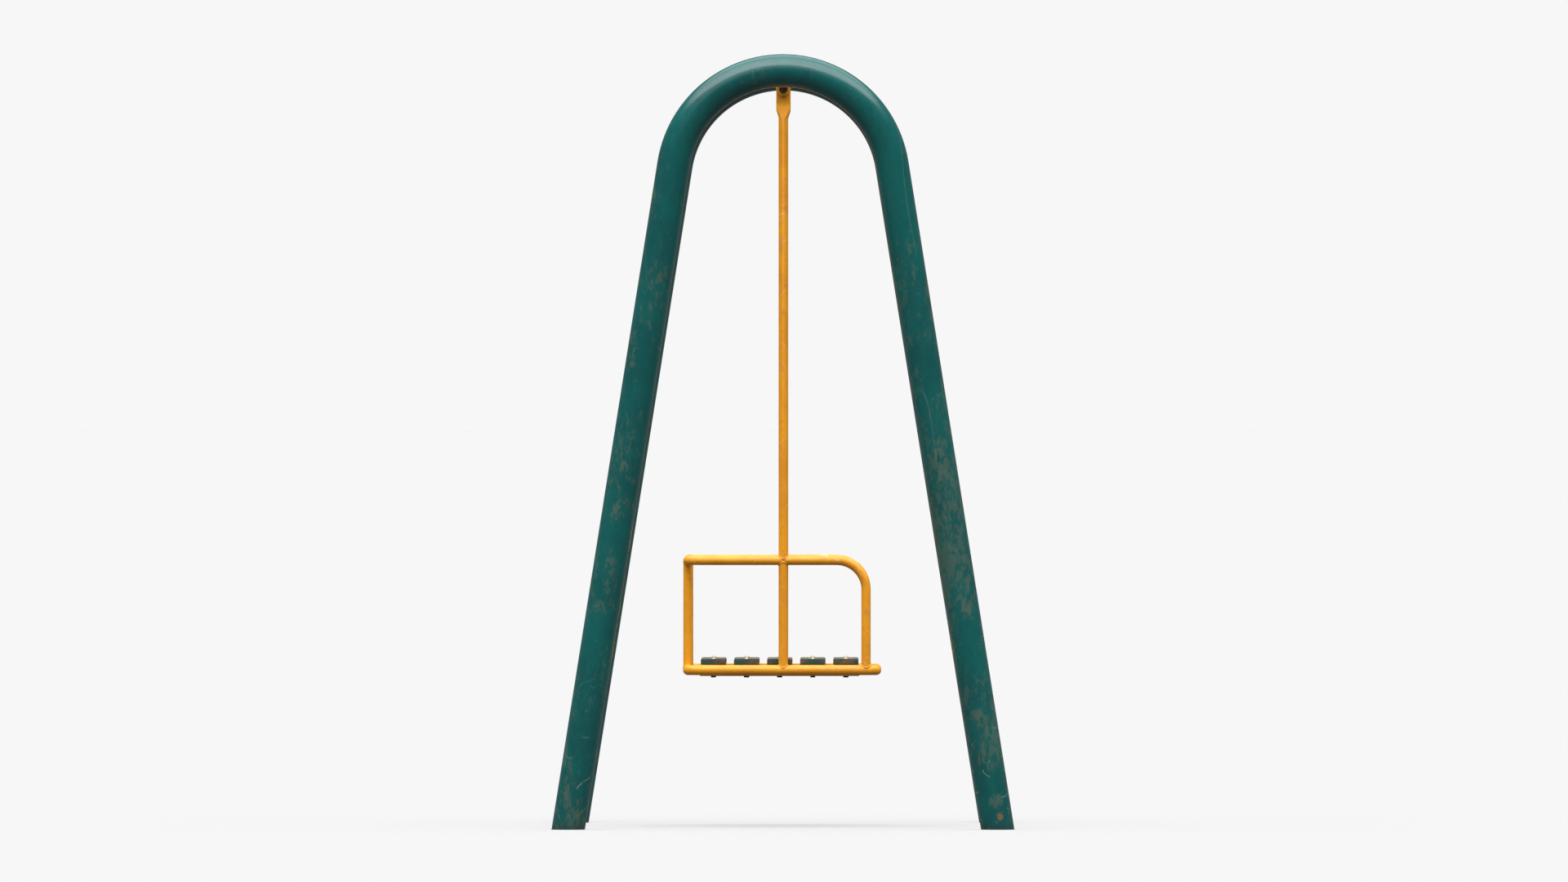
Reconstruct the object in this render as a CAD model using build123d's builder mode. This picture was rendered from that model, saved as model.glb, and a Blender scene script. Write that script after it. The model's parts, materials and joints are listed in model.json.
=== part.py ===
from build123d import *
import os
from math import asin, atan2, cos, hypot, sin, tan

# Glider swing for one child: two hairpin arches of large pipe joined by a crossbar, and a seat of
# small tube with five wooden slats, hung from the crossbar on two rigid rods.
# Millimetres. Origin on the ground under the middle of the crossbar. +X is the way the child
# faces, +Z is up, the crossbar runs along Y: "right" parts are at -Y and "left" parts at +Y.

# ---- driving dimensions: frame ----
arch_pipe_d = 88.9
arch_wall = 3.6
arch_height = 2080.0          # ground to the top of the bend
arch_bend_r = 296.5           # centreline
foot_half_spacing = 576.0     # centreline of a leg at the ground, from the middle
arch_half_spacing = 750.0     # plane of an arch, from the middle
crossbar_d = 60.3
crossbar_wall = 3.2
crossbar_z = 2046.0

# ---- driving dimensions: pivots ----
pivot_z = 1989.0
hanger_y = 280.0              # plane of a hanger rod and of a seat side, from the middle
flat_t = 5.0                  # pressed end of a hanger rod
flat_w = 38.0
flat_end_r = 18.8
lug_r = 19.0
lug_t = 6.0
play = 0.15                   # gap between each thrust washer and the pressed end
thrust_washer_t = 2.0
thrust_washer_r = 14.0
plain_washer_t = 2.5
plain_washer_r = 12.0
bolt_r = 6.0                  # M12
bolt_length = 40.0
bolt_head_h = 7.5
bolt_head_af = 18.0
pivot_nut_h = 12.0
clearance_hole_r = 6.5
bush_bore_r = 6.06
bush_r = 8.5

# ---- driving dimensions: seat ----
tube_r = 12.5
tube_wall = 2.0
loop_r = 13.45                # base loop, 26.9 tube
loop_wall = 2.3
loop_z = 423.5
armrest_z = 719.0
back_x = -257.0
front_x = 250.5
front_post_x = 223.0
loop_corner_r = 32.0          # bends in plan
hoop_corner_r = 38.0
armrest_bend_r = 79.0         # from an armrest down to a front post
back_post_y = 228.0

support_side = 30.0           # square tube under the slat ends
support_wall = 2.0
support_corner_r = 2.5
support_length = 428.8
support_top_z = 437.5

slat_count = 5
slat_pitch = 89.2
slat_width = 68.0
slat_t = 16.5
slat_length = 532.0
slat_edge_r = 4.0
slats_middle_x = -9.8

screw_r = 4.0                 # M8 button head
screw_hole_r = 4.5
screw_head_r = 7.0
screw_head_h = 4.4
screw_socket_af = 5.0
screw_socket_depth = 2.6
screw_length = 50.0
thin_nut_af = 13.0
thin_nut_h = 4.0

# pressed transition of a rod, as (height, width, thickness)
press_sections = [(1908.0, 25.0, 25.0), (1934.0, 37.4, 13.0), (1950.0, flat_w, flat_t)]

# ---- derived ----
arch_r = arch_pipe_d / 2
crossbar_r = crossbar_d / 2
top_z = arch_height - arch_r
bend_centre_z = top_z - arch_bend_r
centre_to_foot = hypot(foot_half_spacing, bend_centre_z)
lean = atan2(foot_half_spacing, bend_centre_z) - asin(arch_bend_r / centre_to_foot)
lug_face = flat_t / 2 + play + thrust_washer_t      # distances from a hanger's plane
lug_back = lug_face + lug_t
washer_back = lug_back + plain_washer_t
support_y = hanger_y - loop_r - support_side / 2
slat_top_z = support_top_z + slat_t
slat_xs = [slats_middle_x + (i - (slat_count - 1) / 2) * slat_pitch for i in range(slat_count)]
sides = {"right": -1, "left": 1}

os.makedirs("parts", exist_ok=True)


def save(piece, name):
    """Labels one finished piece and writes it as parts/NAME.step."""
    piece.label = name
    export_step(piece, f"parts/{name}.step")


def biggest(builder):
    """The largest solid of a builder, without the scraps a saddle cut leaves inside a tube."""
    return builder.solids().sort_by(SortBy.VOLUME)[-1]


def swept(path, radius, wall=0):
    """Tube along a path, or a solid bar where it has no wall."""
    with BuildPart() as bar:
        with BuildSketch(Plane(origin=path @ 0, z_dir=path % 0)) as section:
            Circle(radius)
            if wall:
                Circle(radius - wall, mode=Mode.SUBTRACT)
        sweep(path=path)
    return bar.part


def pivot_plane(y):
    """Sketch plane facing +Y with its origin on the swing's axis."""
    return Plane(origin=(0, y, pivot_z), x_dir=(-1, 0, 0), z_dir=(0, 1, 0))


def pivot_ring(side, near, far, radius, bore=0):
    """Ring about the swing's axis between two distances outwards from a hanger's plane."""
    low, high = sorted((side * (hanger_y + near), side * (hanger_y + far)))
    with BuildPart() as ring:
        with BuildSketch(pivot_plane(low)):
            Circle(radius)
            if bore:
                Circle(bore, mode=Mode.SUBTRACT)
        extrude(amount=high - low)
    return ring.part


def pivot_hexagon(side, near, far, across_flats):
    """Hexagonal prism about the swing's axis, bevelled at its far end."""
    low, high = sorted((side * (hanger_y + near), side * (hanger_y + far)))
    with BuildPart() as prism:
        with BuildSketch(pivot_plane(low)):
            RegularPolygon(across_flats / 2, 6, major_radius=False, rotation=30)
        extrude(amount=high - low)
        outward = side if far > near else -side
        chamfer(prism.edges().group_by(Axis.Y)[-1 if outward > 0 else 0], 0.9)
    return prism.part


# ---- arches ----
def arch_path(y):
    """Centreline of an arch, running on below the ground at both legs."""
    below = 40.0
    foot_x = foot_half_spacing + below * tan(lean)
    tangent_x = arch_bend_r * cos(lean)
    tangent_z = bend_centre_z + arch_bend_r * sin(lean)
    with BuildLine() as line:
        Line((-foot_x, y, -below), (-tangent_x, y, tangent_z))
        ThreePointArc((-tangent_x, y, tangent_z), (0, y, top_z), (tangent_x, y, tangent_z))
        Line((tangent_x, y, tangent_z), (foot_x, y, -below))
    return line.wire()


arch_bars = []
for side_name, side in sides.items():
    path = arch_path(side * arch_half_spacing)
    arch_bars.append(swept(path, arch_r))
    with BuildPart() as arch:
        add(swept(path, arch_r, arch_wall))
        split(bisect_by=Plane.XY, keep=Keep.TOP)
    save(arch.part, f"{side_name}_arch")

# ---- crossbar, its ends cut to the arches' shape ----
with BuildPart() as crossbar_bar:
    with BuildSketch(Plane(origin=(0, 0, crossbar_z), x_dir=(-1, 0, 0), z_dir=(0, 1, 0))):
        Circle(crossbar_r)
    extrude(amount=arch_half_spacing, both=True)

with BuildPart() as crossbar:
    with BuildSketch(Plane(origin=(0, 0, crossbar_z), x_dir=(-1, 0, 0), z_dir=(0, 1, 0))):
        Circle(crossbar_r)
        Circle(crossbar_r - crossbar_wall, mode=Mode.SUBTRACT)
    extrude(amount=arch_half_spacing, both=True)
    for bar in arch_bars:
        add(bar, mode=Mode.SUBTRACT)
save(biggest(crossbar), "crossbar")


# ---- pivot lugs: two plates to each rod, their tops cut to the crossbar's shape ----
def lug(side, near, far):
    low, high = sorted((side * (hanger_y + near), side * (hanger_y + far)))
    with BuildPart() as plate:
        with BuildSketch(pivot_plane(low)):
            Circle(lug_r)
            with Locations((0, (crossbar_z - pivot_z) / 2)):
                Rectangle(2 * lug_r, crossbar_z - pivot_z)
            Circle(clearance_hole_r, mode=Mode.SUBTRACT)
        extrude(amount=high - low)
        add(crossbar_bar.part, mode=Mode.SUBTRACT)
    return biggest(plate)


for side_name, side in sides.items():
    save(lug(side, lug_face, lug_back), f"{side_name}_outer_lug")
    save(lug(side, -lug_back, -lug_face), f"{side_name}_inner_lug")

    with BuildPart() as pivot_bolt:
        add(pivot_hexagon(side, washer_back, washer_back + bolt_head_h, bolt_head_af))
        add(pivot_ring(side, washer_back - bolt_length, washer_back, bolt_r))
    save(pivot_bolt.part, f"{side_name}_pivot_bolt")

    with BuildPart() as pivot_nut:
        add(pivot_hexagon(side, -washer_back, -washer_back - pivot_nut_h, bolt_head_af))
        bore = pivot_ring(side, -washer_back - pivot_nut_h - 1, -washer_back + 1, bolt_r + 0.02)
        add(bore, mode=Mode.SUBTRACT)
    save(pivot_nut.part, f"{side_name}_pivot_nut")

    bush = pivot_ring(side, -flat_t / 2, flat_t / 2, bush_r, bush_bore_r)
    save(bush, f"{side_name}_pivot_bush")

with BuildPart() as pivot_washers:
    for side in sides.values():
        add(pivot_ring(side, lug_back, washer_back, plain_washer_r, clearance_hole_r))
        add(pivot_ring(side, -washer_back, -lug_back, plain_washer_r, clearance_hole_r))
save(pivot_washers.part, "pivot_washers")

with BuildPart() as thrust_washers:
    for side in sides.values():
        near, far = lug_face - thrust_washer_t, lug_face
        add(pivot_ring(side, near, far, thrust_washer_r, clearance_hole_r))
        add(pivot_ring(side, -far, -near, thrust_washer_r, clearance_hole_r))
save(thrust_washers.part, "thrust_washers")

# ---- base loop of the seat: one closed rectangle of bent tube ----
with BuildLine() as base_line:
    FilletPolyline(
        (back_x, -hanger_y, loop_z),
        (front_x, -hanger_y, loop_z),
        (front_x, hanger_y, loop_z),
        (back_x, hanger_y, loop_z),
        radius=loop_corner_r,
        close=True,
    )
base_path = base_line.wire()
base_bar = swept(base_path, loop_r)
save(swept(base_path, loop_r, loop_wall), "seat_loop")

# ---- armrest hoop: front post, armrest, back rail, armrest and front post in one bent tube ----
bend_x = front_post_x - armrest_bend_r
bend_z = armrest_z - armrest_bend_r
bend_mid = armrest_bend_r * sin(atan2(1, 1))
with BuildLine() as hoop_line:
    Line((front_post_x, -hanger_y, loop_z), (front_post_x, -hanger_y, bend_z))
    ThreePointArc(
        (front_post_x, -hanger_y, bend_z),
        (bend_x + bend_mid, -hanger_y, bend_z + bend_mid),
        (bend_x, -hanger_y, armrest_z),
    )
    FilletPolyline(
        (bend_x, -hanger_y, armrest_z),
        (back_x, -hanger_y, armrest_z),
        (back_x, hanger_y, armrest_z),
        (bend_x, hanger_y, armrest_z),
        radius=hoop_corner_r,
    )
    ThreePointArc(
        (bend_x, hanger_y, armrest_z),
        (bend_x + bend_mid, hanger_y, bend_z + bend_mid),
        (front_post_x, hanger_y, bend_z),
    )
    Line((front_post_x, hanger_y, bend_z), (front_post_x, hanger_y, loop_z))
hoop_path = hoop_line.wire()
hoop_bar = swept(hoop_path, tube_r)
with BuildPart() as hoop:
    add(swept(hoop_path, tube_r, tube_wall))
    add(base_bar, mode=Mode.SUBTRACT)
save(biggest(hoop), "armrest_hoop")


def post(x, y):
    """Upright between the base loop and the armrest hoop, its ends cut to their shape."""
    with BuildPart() as upright:
        with BuildSketch(Plane.XY.offset(loop_z)):
            with Locations((x, y)):
                Circle(tube_r)
                Circle(tube_r - tube_wall, mode=Mode.SUBTRACT)
        extrude(amount=armrest_z - loop_z)
        add(base_bar, mode=Mode.SUBTRACT)
        add(hoop_bar, mode=Mode.SUBTRACT)
    return biggest(upright)


def hanger(y):
    """Rod of round tube: saddle-cut at the armrest, pressed flat and drilled at the pivot."""
    with BuildPart() as rod:
        with BuildSketch(Plane.XY.offset(armrest_z)):
            with Locations((0, y)):
                Circle(tube_r)
        extrude(amount=press_sections[0][0] - armrest_z)
        for height, width, thickness in press_sections:
            with BuildSketch(Plane.XY.offset(height)):
                with Locations((0, y)):
                    RectangleRounded(width, thickness, thickness / 2 - 0.2)
        loft()
        # the pressed end, rounded about the pivot
        with BuildSketch(Plane.XY.offset(press_sections[-1][0])):
            with Locations((0, y)):
                RectangleRounded(flat_w, flat_t, flat_t / 2 - 0.2)
        extrude(amount=pivot_z - press_sections[-1][0])
        with BuildSketch(pivot_plane(y)):
            Circle(flat_end_r)
        extrude(amount=flat_t / 2, both=True)
        with BuildSketch(pivot_plane(y)):
            Circle(bush_r)
        extrude(amount=flat_t, both=True, mode=Mode.SUBTRACT)
        with BuildSketch(Plane.XY.offset(armrest_z)):
            with Locations((0, y)):
                Circle(tube_r - tube_wall)
        extrude(amount=press_sections[0][0] - armrest_z, mode=Mode.SUBTRACT)
        add(hoop_bar, mode=Mode.SUBTRACT)
    return biggest(rod)


def slat_support(side):
    """Square tube along the inner side of the base loop, drilled for the slat screws."""
    start = (slats_middle_x - support_length / 2, side * support_y, support_top_z - support_side / 2)
    bore_side = support_side - 2 * support_wall
    with BuildPart() as support:
        with BuildSketch(Plane(origin=start, x_dir=(0, 1, 0), z_dir=(1, 0, 0))):
            RectangleRounded(support_side, support_side, support_corner_r)
            RectangleRounded(bore_side, bore_side, 0.5, mode=Mode.SUBTRACT)
        extrude(amount=support_length)
        with BuildSketch(Plane.XY.offset(support_top_z - support_side - 1)):
            with Locations([(x, side * support_y) for x in slat_xs]):
                Circle(screw_hole_r)
        extrude(amount=support_side + 2, mode=Mode.SUBTRACT)
    return support.part


for side_name, side in sides.items():
    save(hanger(side * hanger_y), f"{side_name}_hanger_rod")
    save(post(0, side * hanger_y), f"{side_name}_centre_post")
    save(post(back_x, side * back_post_y), f"{side_name}_back_post")
    save(slat_support(side), f"{side_name}_slat_support")

# ---- slats ----
for number, slat_x in enumerate(slat_xs, start=1):
    with BuildPart() as slat:
        with BuildSketch(Plane.XY.offset(support_top_z)):
            with Locations((slat_x, 0)):
                Rectangle(slat_width, slat_length)
        extrude(amount=slat_t)
        fillet(slat.edges().filter_by(Axis.Y), slat_edge_r)
        with BuildSketch(Plane.XY.offset(support_top_z - 1)):
            with Locations((slat_x, -support_y), (slat_x, support_y)):
                Circle(screw_hole_r)
        extrude(amount=slat_t + 2, mode=Mode.SUBTRACT)
    save(slat.part, f"slat_{number}")

# ---- slat screws and nuts ----
screw_places = [(x, side * support_y) for x in slat_xs for side in sides.values()]
dome_r = (screw_head_r**2 + screw_head_h**2) / (2 * screw_head_h)

with BuildPart() as slat_screws:
    with BuildSketch(Plane.XY.offset(slat_top_z - screw_length)):
        with Locations(screw_places):
            Circle(screw_r)
    extrude(amount=screw_length)
    for x, y in screw_places:
        with BuildSketch(Plane(origin=(x, y, slat_top_z), x_dir=(1, 0, 0), z_dir=(0, -1, 0))):
            with BuildLine():
                Line((0, 0), (screw_head_r, 0))
                RadiusArc((screw_head_r, 0), (0, screw_head_h), -dome_r)
                Line((0, screw_head_h), (0, 0))
            make_face()
        revolve(axis=Axis((x, y, slat_top_z), (0, 0, 1)))
    with BuildSketch(Plane.XY.offset(slat_top_z + screw_head_h - screw_socket_depth)):
        with Locations(screw_places):
            RegularPolygon(screw_socket_af / 2, 6, major_radius=False)
    extrude(amount=screw_socket_depth + 1, mode=Mode.SUBTRACT)
save(slat_screws.part, "slat_screws")

with BuildPart() as slat_nuts:
    with BuildSketch(Plane.XY.offset(support_top_z - support_side - thin_nut_h)):
        with Locations(screw_places):
            RegularPolygon(thin_nut_af / 2, 6, major_radius=False)
    extrude(amount=thin_nut_h)
    chamfer(slat_nuts.edges().group_by(Axis.Z)[0], 0.7)
    with BuildSketch(Plane.XY.offset(support_top_z - support_side - thin_nut_h - 1)):
        with Locations(screw_places):
            Circle(screw_r + 0.02)
    extrude(amount=thin_nut_h + 2, mode=Mode.SUBTRACT)
save(slat_nuts.part, "slat_nuts")
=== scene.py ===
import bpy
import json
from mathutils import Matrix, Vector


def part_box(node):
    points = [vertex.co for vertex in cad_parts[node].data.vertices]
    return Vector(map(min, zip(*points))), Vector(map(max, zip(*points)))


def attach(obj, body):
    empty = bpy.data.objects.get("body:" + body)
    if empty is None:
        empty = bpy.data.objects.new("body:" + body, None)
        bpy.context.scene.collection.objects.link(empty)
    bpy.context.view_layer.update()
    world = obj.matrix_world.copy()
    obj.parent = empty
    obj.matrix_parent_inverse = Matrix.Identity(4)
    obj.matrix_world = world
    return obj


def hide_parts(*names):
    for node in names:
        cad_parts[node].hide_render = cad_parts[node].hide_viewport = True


bl_info = {
    "name": "Glider Swing",
    "version": (1, 0, 0),
    "blender": (4, 5, 0),
    "location": "View3D > Sidebar > Glider Swing",
    "description": "Makes a child's swing of enamelled steel tube with a seat of painted slats",
    "category": "Object",
}

import json
import math

import bpy
from bpy.props import FloatProperty, IntProperty, PointerProperty, StringProperty
from mathutils import Vector

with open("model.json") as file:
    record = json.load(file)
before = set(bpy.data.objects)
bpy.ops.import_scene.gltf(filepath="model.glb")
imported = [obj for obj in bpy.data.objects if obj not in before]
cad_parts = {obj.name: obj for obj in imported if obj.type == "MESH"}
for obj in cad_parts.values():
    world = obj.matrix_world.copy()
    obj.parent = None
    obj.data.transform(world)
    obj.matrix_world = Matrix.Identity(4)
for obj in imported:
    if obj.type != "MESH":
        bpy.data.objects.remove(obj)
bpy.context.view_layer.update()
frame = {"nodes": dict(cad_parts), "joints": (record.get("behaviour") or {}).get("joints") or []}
MM = 0.001
SIDES = {"right": -1, "left": 1}
PIVOT = Vector(frame["joints"][0]["pos_m"])


def size_of(node):
    low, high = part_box(node)
    return high - low


def centre_of(node):
    low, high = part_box(node)
    return (low + high) / 2


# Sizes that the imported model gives: tube diameters and the lines their centres run on.
PIPE_D = size_of("right_arch").y
TUBE_D = size_of("right_centre_post").y
BASE_D = size_of("seat_loop").z
BAR_D = size_of("crossbar").x
BAR_Z = centre_of("crossbar").z
ARCH_Y = centre_of("left_arch").y
SEAT_Y = centre_of("left_centre_post").y
LOOP_Z = centre_of("seat_loop").z
ARM_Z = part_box("armrest_hoop")[1].z - TUBE_D / 2
BACK_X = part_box("armrest_hoop")[0].x + TUBE_D / 2
FRONT_POST_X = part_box("armrest_hoop")[1].x - TUBE_D / 2
LOOP_FRONT_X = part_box("seat_loop")[1].x - BASE_D / 2
BACK_POST_Y = centre_of("left_back_post").y
LEG_TOP_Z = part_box("right_arch")[1].z
SLAT_NODES = [f"slat_{number}" for number in range(1, 6)]
SUPPORT_Y = centre_of("left_slat_support").y


# ---------------------------------------------------------------- settings


def length(name, text, default):
    return FloatProperty(name=name, description=text, default=default, min=0.0, unit="LENGTH", precision=4)


def paint(name, text, default):
    return StringProperty(name=name, description=text + ", as an sRGB hex value", default=default)


class GLIDER_PG_shape(bpy.types.PropertyGroup):
    arch_bend: length("Arch bend", "Centreline radius of the bend at the top of an arch", 296.5 * MM)
    foot_spread: length("Foot spread", "From the middle to the centre of a leg at the ground", 576 * MM)
    arch_wall: length("Arch wall", "Wall thickness of the arch pipe", 3.6 * MM)
    arm_bend: length("Armrest bend", "Centreline radius from an armrest down to its post", 79 * MM)
    hoop_corner: length("Hoop corner", "Centreline radius of the armrest hoop's back corners", 38 * MM)
    loop_corner: length("Loop corner", "Centreline radius of the base loop's corners", 32 * MM)
    seat_wall: length("Seat tube wall", "Wall thickness of the seat's tubes", 2 * MM)
    press_start: length("Press start", "Height at which a hanger rod starts to flatten", 1909 * MM)
    press_end: length("Press end", "Height above which a hanger rod is flat", 1950 * MM)
    weld_size: length("Weld size", "Radius of a weld bead's section", 2.4 * MM)
    slat_round: length("Slat rounding", "Radius planed on a slat's long edges", 4 * MM)
    slat_wear: length("Slat wear", "Depth to which sitting has hollowed a slat", 0.8 * MM)
    pipe_sides: IntProperty(name="Pipe sides", description="Facets round an arch pipe", default=96, min=12)


class GLIDER_PG_finish(bpy.types.PropertyGroup):
    green: paint("Green enamel", "Sound enamel of the arches", "#045552")
    green_deep: paint("Deep green", "Darker, bluer tone in the same enamel", "#044B4A")
    green_worn: paint("Worn green", "Grey-brown film where the enamel is scuffed", "#525D4B")
    orange: paint("Orange enamel", "Sound enamel of the seat tubes", "#EC9F1A")
    orange_deep: paint("Deep orange", "Browner tone in the same enamel", "#E09118")
    orange_worn: paint("Worn orange", "Pinkish grime where hands and weather wore it", "#B67A4A")
    rust: paint("Rust", "Rust through the enamel", "#7A4426")
    slat_green: paint("Slat green", "Old paint left on the slats", "#2A4A43")
    slat_wood: paint("Slat timber", "Weathered softwood where the paint is gone", "#7A5B3A")
    floor: paint("Floor", "Pale studio floor", "#747474")
    floor_glow: FloatProperty(
        name="Floor glow", description="Light that the floor gives off", default=0.475)
    overhead: FloatProperty(name="Overhead light", description="Strength of the soft box overhead", default=2.3)
    overhead_front: FloatProperty(
        name="Front light", description="Strength that the soft box gains towards the front", default=2.9)
    room: FloatProperty(name="Room light", description="Strength of the dim room all round", default=0.2)


# ---------------------------------------------------------------- materials


def linear(hexcode):
    """sRGB hex value to a linear colour with alpha."""
    channels = [int(hexcode[i:i + 2], 16) / 255 for i in (1, 3, 5)]
    return [c / 12.92 if c <= 0.04045 else ((c + 0.055) / 1.055) ** 2.4 for c in channels] + [1.0]


def add_node(tree, kind, inputs=(), **settings):
    """Adds a shader node, sets its properties, and fills or links its inputs."""
    made = tree.nodes.new("ShaderNode" + kind)
    for key, value in settings.items():
        setattr(made, key, value)
    for key, value in dict(inputs).items():
        if isinstance(value, bpy.types.NodeSocket):
            tree.links.new(value, made.inputs[key])
        else:
            made.inputs[key].default_value = value
    return made


def new_material(name):
    """Empty node material with its output, as (material, tree, principled shader)."""
    material = bpy.data.materials.new(name)
    material.use_nodes = True
    tree = material.node_tree
    tree.nodes.clear()
    shader = add_node(tree, "BsdfPrincipled")
    add_node(tree, "OutputMaterial", {"Surface": shader.outputs[0]})
    return material, tree, shader


def stretched(tree, scale, turn=(0, 0, 0)):
    """Object coordinates stretched by a scale in each direction."""
    place = add_node(tree, "TexCoord")
    return add_node(
        tree, "Mapping", {"Vector": place.outputs["Object"], "Scale": scale, "Rotation": turn}
    ).outputs[0]


def noise(tree, size_mm, detail=3.0, roughness=0.5, vector=None, distortion=0.0):
    """Cloudy pattern whose lumps are about size_mm across."""
    if vector is None:
        vector = add_node(tree, "TexCoord").outputs["Object"]
    made = add_node(
        tree, "TexNoise",
        {"Vector": vector, "Scale": 1000 / size_mm, "Detail": detail, "Roughness": roughness,
         "Distortion": distortion},
    )
    return made.outputs["Fac"]


def band(tree, value, low, high):
    """0 below low, 1 above high, and smooth between them."""
    made = add_node(
        tree, "MapRange", {"Value": value, "From Min": low, "From Max": high},
        interpolation_type="SMOOTHSTEP",
    )
    return made.outputs["Result"]


def sum_of(tree, operation, first, second):
    made = add_node(tree, "Math", {0: first, 1: second}, operation=operation)
    return made.outputs[0]


def mixed(tree, amount, under, over):
    """Colour that goes from under to over by amount."""
    made = add_node(tree, "Mix", {0: amount, 6: under, 7: over}, data_type="RGBA")
    return made.outputs[2]


def roughened(tree, shader, height, depth_mm):
    """Bump of a real depth on a shader."""
    made = add_node(tree, "Bump", {"Strength": 1.0, "Distance": depth_mm * MM, "Height": height})
    tree.links.new(made.outputs[0], shader.inputs["Normal"])


def hairlines(tree, size_mm, width_mm, stretch, turn, level):
    """Thin curved scratches: lines of equal height in a smooth pattern, broken up by another."""
    place = stretched(tree, stretch, turn)
    field = noise(tree, size_mm, 0.4, 0.5, place)
    off = add_node(
        tree, "Math", {0: sum_of(tree, "SUBTRACT", field, level)}, operation="ABSOLUTE"
    ).outputs[0]
    slope = 1.4 * width_mm / size_mm
    line = band(tree, off, slope, 0.3 * slope)
    broken = band(tree, noise(tree, size_mm * 0.6, 2.0, 0.5, place), 0.53, 0.60)
    return sum_of(tree, "MULTIPLY", line, broken)


# Places on the right-hand arch's outer face where the enamel is worn most: (x, z), the width of
# the spot and how many times taller than wide it is, in metres.
SCUFFED_SPOTS = (
    ((0.526, 0.305), 0.040, 0.8),
    ((0.574, 0.078), 0.046, 0.9),
    ((0.540, 0.215), 0.016, 4.0),
    ((0.468, 0.785), 0.026, 2.4),
    ((0.420, 0.980), 0.050, 2.6),
    ((0.492, 0.600), 0.036, 1.8),
    ((-0.448, 0.855), 0.030, 1.6),
    ((-0.425, 0.975), 0.022, 1.4),
    ((-0.585, 0.118), 0.0215, 8.0),
)
RUSTED_SPOTS = (
    ((-0.543, 0.038), 0.019, 1.0),
    ((0.582, 0.036), 0.016, 1.5),
)


def spots(tree, places):
    """Ragged spots on the outer face of the right-hand arch: 1 inside them and 0 outside."""
    face_y = -ARCH_Y - PIPE_D / 2
    total = 0.0
    for (x, z), across, tall in places:
        away = add_node(
            tree, "VectorMath",
            {0: stretched(tree, (1, 1, 1 / tall)), 1: (x, face_y, z / tall)}, operation="DISTANCE",
        )
        ragged = sum_of(tree, "MULTIPLY", noise(tree, across * 400, 5.0, 0.65), 1.1 * across)
        rim = sum_of(tree, "ADD", away.outputs["Value"], ragged)
        total = sum_of(tree, "MAXIMUM", total, band(tree, rim, 1.15 * across, 0.85 * across))
    return total


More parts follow.
